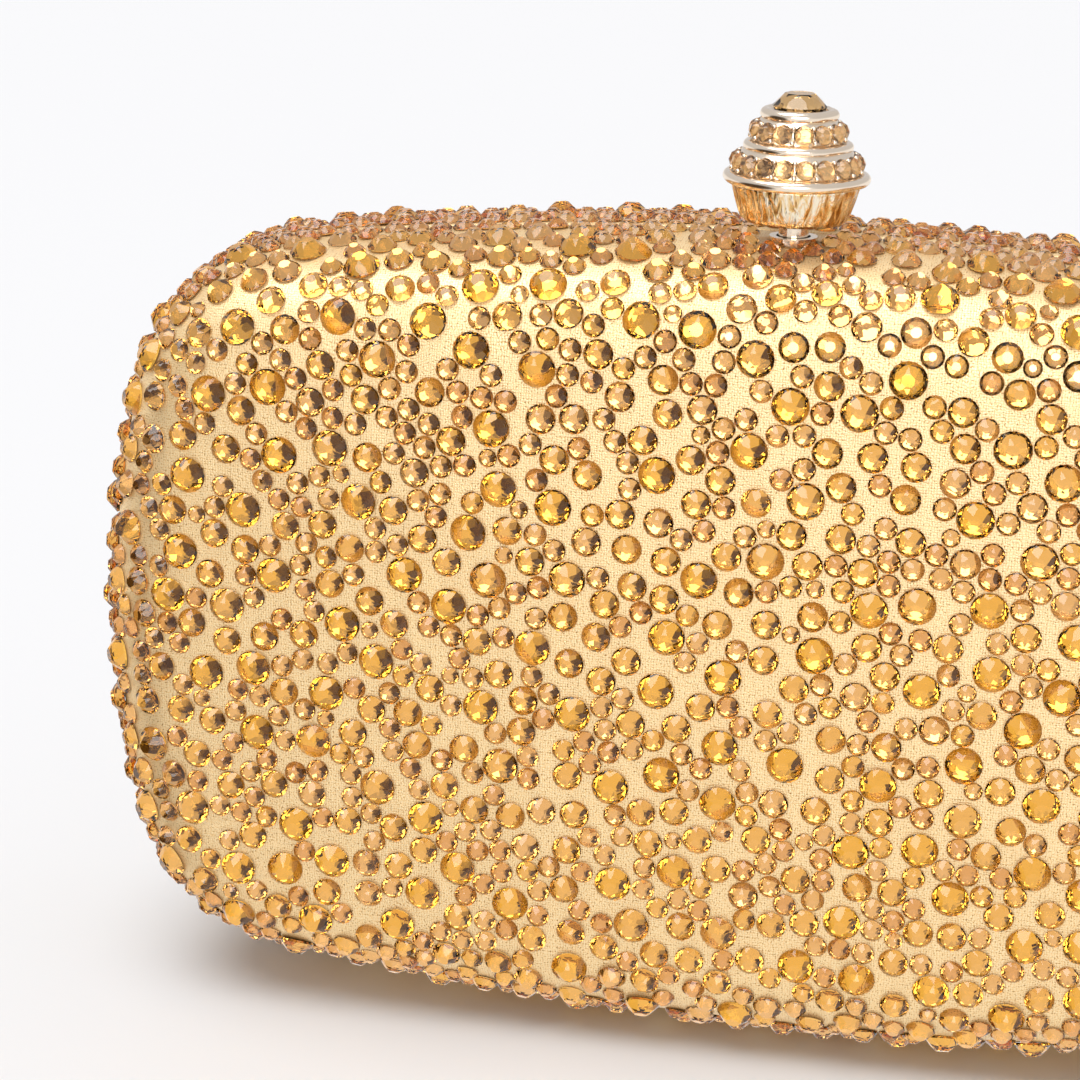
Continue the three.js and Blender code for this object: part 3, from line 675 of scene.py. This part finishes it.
def laid_on_points(name, places, aims, shape, tree, size, body):
    """A piece with one shape at each place in millimetres, turned by its aim."""
    points = bpy.data.meshes.new(name)
    points.from_pydata([tuple(Vector(place) * MM) for place in places], [], [])
    turns = points.attributes.new("aim", "FLOAT_VECTOR", "POINT")
    turns.data.foreach_set("vector", [angle for aim in aims for angle in aim.to_euler()])
    piece = bpy.data.objects.new(name, points)
    bpy.context.scene.collection.objects.link(piece)
    tool = piece.modifiers.new("setting", "NODES")
    tool.node_group = tree
    names = {item.name: item.identifier for item in tree.interface.items_tree if item.in_out == "INPUT"}
    tool[names["Shape"]] = shape
    tool[names["Size"]] = float(size * MM)
    fixed(piece)
    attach(piece, body)
    return piece


def stones_on_points(name, stones, stone, tree, body, lift=STONE_LIFT):
    """A piece made of stones of one family, one at each (centre, normal, radius)."""
    spin = np.random.default_rng(SPIN_SEED)
    places, aims = [], []
    for centre, normal, _ in stones:
        places.append(Vector(centre) + Vector(normal) * lift)
        lean = Vector(normal) + Vector(spin.normal(0, LEAN, 3))
        facing = lean.to_track_quat("Z", "Y").to_matrix()
        aims.append(facing @ Matrix.Rotation(spin.random() * math.tau, 3, "Z"))
    piece = laid_on_points(name, places, aims, stone, tree, stones[0][2], body)
    piece.data.shade_flat()
    return piece


patterns = {tint: cut_stone(f"pattern_{tint}", glass_finishes[tint]) for tint in TINTS}
trees = {tint: setting_tree(f"setting_{tint}", glass_finishes[tint], foil_finish) for tint in TINTS}
for name, side in HALVES:
    for (tint, size), stones in set_stones(side, 20 + side).items():
        piece = stones_on_points(
            f"stones_{name}_{size}_{tint}", stones, patterns[tint], trees[tint], f"{name}_half")
        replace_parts(piece, f"{name}_crystals")

# ---- Moulded shells, rim frames and linings ---------------------------------------------------
# Stiff moulded shells under the cloth, a satin lining glued inside each, and a plated gold frame
# pressed into each rim. The front frame has a lip that lines the halves up.
SHELL_LEVEL, SHELL_THICKNESS = 3.1, 1.6
LINING_LEVEL, LINING_THICKNESS = 5.0, 0.8
FRAME_DEPTH = 6.0
LINING_DEPTH = FRAME_DEPTH + 0.3
BACK_SECTION = (
    (5.0, 0.25), (5.1, 0.15), (6.1, 0.15), (6.2, 0.25), (6.2, 5.9), (6.1, 6.0), (5.1, 6.0), (5.0, 5.9),
)
FRONT_SECTION = (
    (5.0, -5.9), (5.0, -0.25), (5.1, -0.15), (6.5, -0.15), (6.5, 1.2), (6.7, 1.45), (7.3, 1.45), (7.5, 1.2),
    (7.5, -2.1), (7.3, -2.3), (6.2, -2.3), (6.2, -5.9), (6.1, -6.0), (5.1, -6.0),
)
PALE_GOLD = (1.0, 0.85, 0.68, 1)


def moulded_plastic():
    plastic = Finish("moulding", Specular_IOR_Level=0.4)
    place = plastic.node("ShaderNodeTexCoord", None, out=3)
    grain = plastic.node("ShaderNodeTexNoise", None, Vector=place, Scale=900.0, Detail=3.0)
    colour = plastic.mix(grain, (0.09, 0.055, 0.03, 1), (0.15, 0.10, 0.06, 1))
    plastic.feed(Base_Color=colour, Roughness=0.4 + grain * 0.3, Normal=plastic.bump(grain, 0.3, 0.05 * MM))
    return plastic.material


def satin():
    cloth = Finish("lining_satin", Sheen_Weight=0.35, Sheen_Roughness=0.4, Specular_IOR_Level=0.5)
    place = cloth.node("ShaderNodeTexCoord", None, out=3)
    warp = cloth.node("ShaderNodeMapping", None, Vector=place, Scale=(4200.0, 4200.0, 500.0))
    threads = cloth.node("ShaderNodeTexNoise", None, Vector=warp, Scale=1.0, Detail=2.0)
    creases = cloth.node("ShaderNodeTexNoise", None, Vector=place, Scale=45.0, Detail=2.0, Distortion=0.4)
    # The colour is darker in the low parts of the creases and paler on their high parts: painted shade and
    # sheen of the folds, over a random thread tone.
    colour = cloth.mix(threads * 0.6 + creases * 0.4, (0.42, 0.24, 0.09, 1), (0.80, 0.56, 0.28, 1))
    height = threads * 0.15 + creases
    cloth.feed(Base_Color=colour, Roughness=0.28 + threads * 0.25, Normal=cloth.bump(height, 0.35, 0.6 * MM))
    return cloth.material


def gold_plate(name, colour):
    """Polished plating: fine handling marks, and a slightly duller tone in patches."""
    metal = Finish(name, Metallic=1.0)
    place = metal.node("ShaderNodeTexCoord", None, out=3)
    patches = metal.node("ShaderNodeTexNoise", None, Vector=place, Scale=260.0, Detail=3.0)
    marks = metal.node("ShaderNodeTexNoise", None, Vector=place, Scale=1800.0, Detail=2.0)
    darker = tuple(c * 0.72 for c in colour[:3]) + (1,)
    tone = metal.mix(patches * 0.2 + marks * 0.1, colour, darker)
    relief = metal.bump(patches * 0.6 + marks * 0.4, 0.08, 0.1 * MM)
    metal.feed(Base_Color=tone, Roughness=0.14 + patches * 0.12, Normal=relief)
    return metal.material


moulding_finish = moulded_plastic()
satin_finish = satin()
gold_finish = gold_plate("pale_gold", PALE_GOLD)


def swept_frame(name, section, body):
    """A frame swept round the outline from section points (level, y), its edges bevelled."""
    rings = []
    for level, y in section:
        line = outline(level, AROUND)[0]
        rings.append(np.stack([line[:, 0], np.full(len(line), y), CENTRE_Z + line[:, 1]], 1))
    points, faces = lofted(rings, closed=True)
    piece = new_piece(name, points, faces, body, gold_finish, smooth=False)
    return piece


for name, side in HALVES:
    half = f"{name}_half"
    shell = dished_wall(
        f"shell_{name}", side, SHELL_LEVEL, SHELL_THICKNESS, SEAM_GAP, half, moulding_finish)
    lining = dished_wall(
        f"lining_{name}", side, LINING_LEVEL, LINING_THICKNESS, LINING_DEPTH, half, satin_finish)
    if side < 0:
        pierced(shell, stem_hole())
        pierced(lining, stem_hole())
    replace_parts(shell, f"{name}_shell")
    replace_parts(lining, f"{name}_lining")
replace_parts(swept_frame("rim_frame_back", BACK_SECTION, "back_half"), "back_frame")
front_rim = swept_frame("rim_frame_front", FRONT_SECTION, "front_half")
pierced(front_rim, stem_hole())
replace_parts(front_rim, "front_frame")

# ---- Knob ----------------------------------------------------------------------------------
# A cast cup with a hammered side, two tiers of set stones between beaded rings, and a large stone
# on top, all plated pale gold and fixed on the stem.
DRUM_OVERLAP = 0.5
TIER_LEAN = math.radians(24)
INNER_RADIUS = 0.5
UNEVENNESS = 0.03
HAMMERED_FROM = 6.8
HAMMER_DEPTH = 0.022
CLAW_SIZE = 0.36
CLAW_WAIST = 0.32
CLAW_SIDES = 8
gem_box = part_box("knob_top_gem")


def turned(name, profile, body, *materials, ripple=None, sides=96):
    """A turned piece on the stem's axis, from (radius, z) points in millimetres."""
    turns = np.linspace(0, 2 * math.pi, sides, endpoint=False)
    rings = []
    for radius, z in profile:
        radii = np.full(sides, radius)
        if ripple is not None:
            radii = radii + ripple(turns, radius, z)
        x, y = radii * np.cos(turns), STEM_Y + radii * np.sin(turns)
        rings.append(np.stack([x, y, np.full(sides, z)], 1))
    points, faces = lofted(rings)
    piece = new_piece(name, points, faces, body, *materials)
    return piece


def bead(level, thickness):
    """A round bead on the edge of a thin disc, a little uneven as cast."""
    node = f"knob_{level}_ring"
    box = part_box(node)
    radius = (box[1].x - box[0].x) / 2 / MM
    middle = (box[0].z + box[1].z) / 2 / MM
    tube, web, root = thickness / 2, thickness / 5, math.radians(156)
    core = radius - 2 * tube
    edge = [(radius - tube + tube * math.cos(t), middle + tube * math.sin(t))
            for t in np.linspace(-root, root, 21)]
    profile = [(core * 0.4, middle - web), (core, middle - web), *edge,
               (core, middle + web), (core * 0.4, middle + web)]
    rng = np.random.default_rng(int(radius * 10))
    phases = rng.random(6) * math.tau

    def unevenness(turns, at_radius, z):
        waves = sum(math.sin(p) * np.sin((k + 3) * turns + p) for k, p in enumerate(phases))
        return UNEVENNESS * waves

    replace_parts(turned(f"knob_ring_{level}", profile, "knob", gold_finish, ripple=unevenness), node)


cup_low, cup_high = cup_box[0].z / MM, cup_box[1].z / MM
cup_profile = [
    (INNER_RADIUS, cup_low + 0.05), (5.8, cup_low), (6.6, cup_low + 0.1), (6.95, cup_low + 0.45),
    *[(7.0 + 1.5 * t ** 0.9, cup_low + 0.5 + (cup_high - cup_low - 0.5) * t) for t in np.linspace(0, 1, 12)],
    (7.9, cup_high + 0.12), (INNER_RADIUS, cup_high + 0.12),
]
hammer = np.random.default_rng(11)
hammer_phase = hammer.random((14, 2)) * math.tau


def hammered(turns, radius, z):
    if radius < HAMMERED_FROM:
        return np.zeros_like(turns)
    height = (z - cup_low) / (cup_high - cup_low)
    wave = sum(np.sin((9 + 3 * k) * turns + p + 1.5 * math.sin(2.2 * height + q))
               for k, (p, q) in enumerate(hammer_phase))
    return HAMMER_DEPTH * wave


def hammered_gold():
    """The cup's plating: darker in the hollows of upright hammer strokes and paler on their ridges, as
    painted shade and a painted highlight.
    """
    metal = Finish("hammered_gold", Metallic=1.0)
    place = metal.node("ShaderNodeTexCoord", None, out=3)
    strokes = metal.node("ShaderNodeMapping", None, Vector=place, Scale=(1100.0, 1100.0, 160.0))
    dents = metal.node("ShaderNodeTexNoise", None, Vector=strokes, Scale=1.0, Detail=3.0, Distortion=0.6)
    # Ramp stops: painted shade in the hollows, the gold, and a painted highlight on the ridges.
    stops = [(0.3, (0.30, 0.12, 0.02, 1)), (0.42, (0.88, 0.56, 0.22, 1)), (0.54, (1.0, 0.88, 0.68, 1))]
    tone = metal.node("ShaderNodeValToRGB", {"ramp": stops}, dents)
    metal.feed(Base_Color=tone, Roughness=0.32 - dents * 0.2, Normal=metal.bump(dents, 0.8, 0.45 * MM))
    return metal.material


cup = turned("knob_cup_cast", cup_profile, "knob", hammered_gold(), ripple=hammered, sides=240)
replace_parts(cup, "knob_cup")
for level, thickness in (("lower", 1.5), ("mid", 1.3), ("top", 1.6)):
    bead(level, thickness)


def claw_beads(name, places):
    """Small round claw beads, one at each place in millimetres, as one piece."""
    turns = np.linspace(0, math.tau, CLAW_SIDES, endpoint=False)
    upper, lower = 2, 2 + CLAW_SIDES
    points, faces = [], []
    for x, y, z in places:
        base = len(points)
        points += [(x, y, z + CLAW_SIZE), (x, y, z - CLAW_SIZE)]
        for height in (z + CLAW_SIZE / 2, z - CLAW_SIZE / 2):
            points += [(x + CLAW_WAIST * math.cos(t), y + CLAW_WAIST * math.sin(t), height) for t in turns]
        for i in range(CLAW_SIDES):
            after = (i + 1) % CLAW_SIDES
            rings = (upper + i, lower + i, lower + after, upper + after)
            for face in ((0, upper + i, upper + after), rings, (1, lower + after, lower + i)):
                faces.append([base + corner for corner in face])
    new_piece(name, points, faces, "knob", gold_finish)


def stone_tier(level, stone_radius, seat):
    """A coned drum with stones set round it and a small claw bead between each two."""
    stones_node = f"knob_{level}_stones"
    low, high = (corner.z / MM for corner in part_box(stones_node))
    middle, rise = (low + high) / 2, math.tan(TIER_LEAN)
    foot, head = low - DRUM_OVERLAP, high + DRUM_OVERLAP
    wide, narrow = seat + (middle - foot) * rise, seat - (head - middle) * rise
    core = [(INNER_RADIUS, foot), (wide, foot), (narrow, head), (INNER_RADIUS, head)]
    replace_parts(turned(f"knob_{level}_drum", core, "knob", gold_finish), f"knob_{level}_tier")
    count = int(math.tau * (seat + 0.3) // (2 * stone_radius + 0.08))
    stones, claws = [], []
    for i in range(count):
        angle = math.tau * (i + 0.25) / count
        spoke = np.array([math.cos(angle), math.sin(angle), 0])
        outward = spoke * math.cos(TIER_LEAN) + np.array([0, 0, math.sin(TIER_LEAN)])
        at = np.array([0, STEM_Y, middle]) + spoke * seat
        stones.append((at - outward * 0.1, outward, stone_radius))
        between = angle + math.pi / count
        for z in (low + 0.45, high - 0.45):
            reach = seat + 0.25 - (z - middle) * rise
            claws.append((reach * math.cos(between), STEM_Y + reach * math.sin(between), z))
    piece = stones_on_points(
        f"knob_{level}_tier_stones", stones, patterns["sand"], trees["sand"], "knob", lift=0.0)
    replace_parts(piece, stones_node)
    claw_beads(f"knob_{level}_claws", claws)


stone_tier("lower", 1.375, 7.9)
stone_tier("upper", 1.35, 5.6)


def top_stone():
    """The large stone on top: a wide table, a crown of kites and a short pavilion below."""
    low, high = gem_box[0].z / MM, gem_box[1].z / MM
    radius = (gem_box[1].x - gem_box[0].x) / 2 / MM
    foot, belt = (radius * 0.93, low - 0.2), (radius, low + 0.35)
    waist, table = (radius * 0.8, low + 1.15), (radius * 0.55, high)
    points, faces = cut_crown([foot, belt, waist, table], (0, STEM_Y))
    finishes = (glass_finishes["sand"], foil_finish)
    gem = new_piece("knob_top_stone", points, faces, "knob", *finishes, smooth=False)
    gem.data.polygons[0].material_index = 1
    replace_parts(gem, "knob_top_gem")


top_stone()

# ---- Stem, latch and hinge --------------------------------------------------------------------
# Turned and pressed parts, plated steel and gold, fixed with rivets and screws. Their shape is
# the frame's own; only the spring is wound here.
STEEL_NODES = (
    "latch_housing", "latch_plate", "stem_nut", "keeper_plate", "hinge_pin",
    "housing_screw_left", "housing_screw_right", "keeper_screw_left", "keeper_screw_right",
)
GOLD_NODES = (
    "hinge_front_leaf", "hinge_back_leaf", "stem_ferrule", "knob_stem", "hinge_front_rivet_left",
    "hinge_front_rivet_right", "hinge_back_rivet_left", "hinge_back_rivet_right",
)


def plated_steel():
    steel = Finish("plated_steel", Metallic=1.0)
    place = steel.node("ShaderNodeTexCoord", None, out=3)
    lines = steel.node("ShaderNodeMapping", None, Vector=place, Scale=(300.0, 5200.0, 5200.0))
    brush = steel.node("ShaderNodeTexNoise", None, Vector=lines, Scale=1.0, Detail=2.0)
    colour = steel.mix(brush, (0.48, 0.48, 0.50, 1), (0.74, 0.74, 0.76, 1))
    steel.feed(Base_Color=colour, Roughness=0.22 + brush * 0.2, Normal=steel.bump(brush, 0.15, 0.05 * MM))
    return steel.material


steel_finish = plated_steel()
for finish, node_names in ((steel_finish, STEEL_NODES), (gold_finish, GOLD_NODES)):
    for node in node_names:
        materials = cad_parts[node].data.materials
        materials.clear()
        materials.append(finish)


def coil_spring():
    low, high = (v.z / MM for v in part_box("latch_spring"))
    wire, radius, coils, per_turn = 0.25, 2.15, 6, 24
    rings = []
    for i in range(coils * per_turn + 1):
        turn = math.tau * i / per_turn
        share = i / (coils * per_turn)
        z = low + wire + (high - low - 2 * wire) * share
        outward = np.array([math.cos(turn), math.sin(turn), 0])
        centre = np.array([0, STEM_Y, z]) + outward * radius
        rings.append([centre + wire * (math.cos(a) * outward + np.array([0, 0, math.sin(a)]))
                      for a in np.linspace(0, math.tau, 10, endpoint=False)])
    points, faces = lofted(rings)
    spring = new_piece("return_spring", points, faces, "front_half", steel_finish)
    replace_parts(spring, "latch_spring")
    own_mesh(spring)


coil_spring()

# ---- Slip pocket -------------------------------------------------------------------------------
# A patch of the lining satin sewn to the back lining on three sides, its top edge hemmed.
POCKET_STEPS = (48, 26)
POCKET_CORNER = 6
POCKET_PUFF = 1.1
POCKET_THICKNESS = 0.5
STITCH_PITCH = 2.2
HEM_ROWS = 4
SEAM_INSET = 1
pocket_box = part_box("back_pocket")


def slip_pocket():
    half = (pocket_box[1].x - pocket_box[0].x) / 2 / MM
    low, high = pocket_box[0].z / MM, pocket_box[1].z / MM
    near = pocket_box[0].y / MM
    across_steps, up_steps = POCKET_STEPS
    points, faces = [], []
    rng = np.random.default_rng(3)
    phase = rng.random(8) * math.tau
    for skin in (0, 1):
        for j in range(up_steps + 1):
            for i in range(across_steps + 1):
                u, v = i / across_steps * 2 - 1, j / up_steps
                x, z = half * u, low + (high - low) * v
                past = max(0, (abs(u) * half - half) / POCKET_CORNER + 1)
                inset = POCKET_CORNER * past ** 2 * max(0, 1 - v * 8)
                puff = POCKET_PUFF * (1 - u ** 8) * min(1, v * 6) * (0.75 + 0.25 * v)
                ripple = sum(0.05 * math.sin(k * u * 3 + p + 2 * v) for k, p in enumerate(phase))
                y = near + 0.2 - puff * 0.45 - ripple * min(1, v * 5) + skin * POCKET_THICKNESS
                points.append((x, y, z + inset * 0.5))
    row = across_steps + 1
    sheet = row * (up_steps + 1)
    for j in range(up_steps):
        for i in range(across_steps):
            a = j * row + i
            faces.append((a, a + 1, a + row + 1, a + row))
            faces.append((sheet + a, sheet + a + row, sheet + a + row + 1, sheet + a + 1))
    foot_and_right = [*range(row), *(j * row + row - 1 for j in range(1, up_steps + 1))]
    top = [up_steps * row + i for i in range(row - 2, -1, -1)]
    rim = foot_and_right + top + [j * row for j in range(up_steps - 1, 0, -1)]
    for a, b in zip(rim, rim[1:] + rim[:1]):
        faces.append((a, b, sheet + b, sheet + a))
    pocket = new_piece("slip_pocket", points, faces, "back_half", satin_finish)
    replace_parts(pocket, "back_pocket")
    return np.array(points[:sheet]).reshape(up_steps + 1, row, 3)


def sewn(name, line, pitch, thread):
    """A piece of raised stitches, one to each step along a line, laid by Geometry Nodes."""
    steps = np.linalg.norm(np.diff(line, axis=0), axis=1)
    travelled = np.concatenate([[0], np.cumsum(steps)])
    count = int(travelled[-1] // pitch)
    stops = (np.arange(count) + 0.5) * travelled[-1] / count
    places = spread(line, travelled, stops)
    ahead = spread(line, travelled, stops + 0.1)
    aims = [Vector(step).to_track_quat("X", "Z") for step in ahead - places]
    piece = laid_on_points(name, places, aims, thread, thread_tree, pitch, "back_half")


def stitch():
    """One stitch a unit of pitch long: a round thread that dips into the cloth at both ends."""
    rings = []
    for t in np.linspace(-1, 1, 7):
        reach, height = 0.4 * t, 0.1 - 0.16 * t * t
        thick = 0.15 * math.sqrt(1.15 - t * t)
        rings.append([(reach, -height + thick * math.sin(a), thick * math.cos(a))
                      for a in np.linspace(0, math.tau, 7, endpoint=False)])
    return pattern("stitch", *lofted(rings))


def silk_thread():
    silk = Finish("silk_thread", Sheen_Weight=0.4)
    place = silk.node("ShaderNodeTexCoord", None, out=3)
    twist = silk.node("ShaderNodeTexNoise", None, Vector=place, Scale=6000.0, Detail=1.0)
    colour = silk.mix(twist, (0.55, 0.34, 0.14, 1), (0.92, 0.70, 0.40, 1))
    silk.feed(Base_Color=colour, Roughness=0.5 - twist * 0.2, Normal=silk.bump(twist, 0.4, 0.05 * MM))
    return silk.material


thread_finish = silk_thread()
thread_tree = setting_tree("sewing", thread_finish, thread_finish)
pocket_front = slip_pocket()
one_stitch = stitch()
hem = pocket_front[-1 - HEM_ROWS, SEAM_INSET:-SEAM_INSET]
foot_line = pocket_front[SEAM_INSET, SEAM_INSET:-SEAM_INSET]
left_line, right_line = pocket_front[::-1, SEAM_INSET], pocket_front[:, -1 - SEAM_INSET]
sides_and_foot = np.concatenate([left_line, foot_line, right_line])
sewn("pocket_hem_stitches", hem, STITCH_PITCH, one_stitch)
sewn("pocket_edge_stitches", sides_and_foot, STITCH_PITCH, one_stitch)

# ---- Floor and light ---------------------------------------------------------------------------
# A plain pale table and soft studio light from above and in front. The studio that the stones
# reflect is pale, brighter low down, with one dark screen to the left.
WALL_STOPS = ((0.0, (0.95, 0.95, 0.95, 1)), (0.12, (0.62, 0.62, 0.64, 1)))
SCREEN_STOPS = ((0.82, (1, 1, 1, 1)), (0.90, (0.07, 0.045, 0.025, 1)))
SCREEN_TOWARD = (-0.85, -0.45, -0.28)
floor_mesh = bpy.data.meshes.new("floor")
floor_mesh.from_pydata([(-6, -6, 0), (6, -6, 0), (6, 6, 0), (-6, 6, 0)], [], [(0, 1, 2, 3)])
floor = bpy.data.objects.new("floor", floor_mesh)
pale = Finish("floor", Base_Color=(0.81, 0.81, 0.81, 1), Roughness=0.6, Specular_IOR_Level=0.2)
floor_mesh.materials.append(pale.material)
bpy.context.scene.collection.objects.link(floor)
floor.visible_glossy = False
floor.visible_transmission = False


centre = Vector((0, 0, middle_z))


def lamp(name, kind, place, colour=(1, 1, 1), skips=(), **settings):
    """A light aimed at the middle of the bag, which may leave some objects unlit."""
    light = bpy.data.lights.new(name, kind)
    light.color = colour
    for setting, value in settings.items():
        setattr(light, setting, value)
    made = bpy.data.objects.new(name, light)
    made.location = place
    made.rotation_mode = "QUATERNION"
    made.rotation_quaternion = (centre - Vector(place)).to_track_quat("-Z", "Y")
    bpy.context.scene.collection.objects.link(made)
    if skips:
        unlit = bpy.data.collections.new(f"{name}_skips")
        for object_ in skips:
            unlit.objects.link(object_)
        made.light_linking.receiver_collection = unlit
        for entry in unlit.collection_objects:
            entry.light_linking.link_state = "EXCLUDE"
    return made


lamp("overhead", "SUN", (-0.25, -0.2, 1.0), angle=math.radians(45), energy=2.0)
lamp("front_box", "AREA", (0.12, -0.85, 0.36), skips=(floor,),
     shape="RECTANGLE", size=0.62, size_y=0.42, energy=3.6)
world = bpy.data.worlds.new("studio")
world.use_nodes = True
nodes, link = world.node_tree.nodes, world.node_tree.links.new
toward = nodes.new("ShaderNodeTexCoord")
parts = nodes.new("ShaderNodeSeparateXYZ")
walls = nodes.new("ShaderNodeValToRGB")
set_ramp(walls, WALL_STOPS)
facing = nodes.new("ShaderNodeVectorMath")
facing.operation = "DOT_PRODUCT"
facing.inputs[1].default_value = SCREEN_TOWARD
screen = nodes.new("ShaderNodeValToRGB")
set_ramp(screen, SCREEN_STOPS)
shaded = nodes.new("ShaderNodeMix")
shaded.data_type, shaded.blend_type = "RGBA", "MULTIPLY"
shaded.inputs[0].default_value = 1.0
link(toward.outputs["Generated"], parts.inputs["Vector"])
link(parts.outputs["Z"], walls.inputs["Fac"])
link(toward.outputs["Generated"], facing.inputs[0])
link(facing.outputs["Value"], screen.inputs["Fac"])
link(walls.outputs["Color"], shaded.inputs[6])
link(screen.outputs["Color"], shaded.inputs[7])
link(shaded.outputs[2], nodes["Background"].inputs["Color"])
nodes["Background"].inputs["Strength"].default_value = 1.0
bpy.context.scene.world = world
bpy.context.scene.view_settings.view_transform = "Standard"
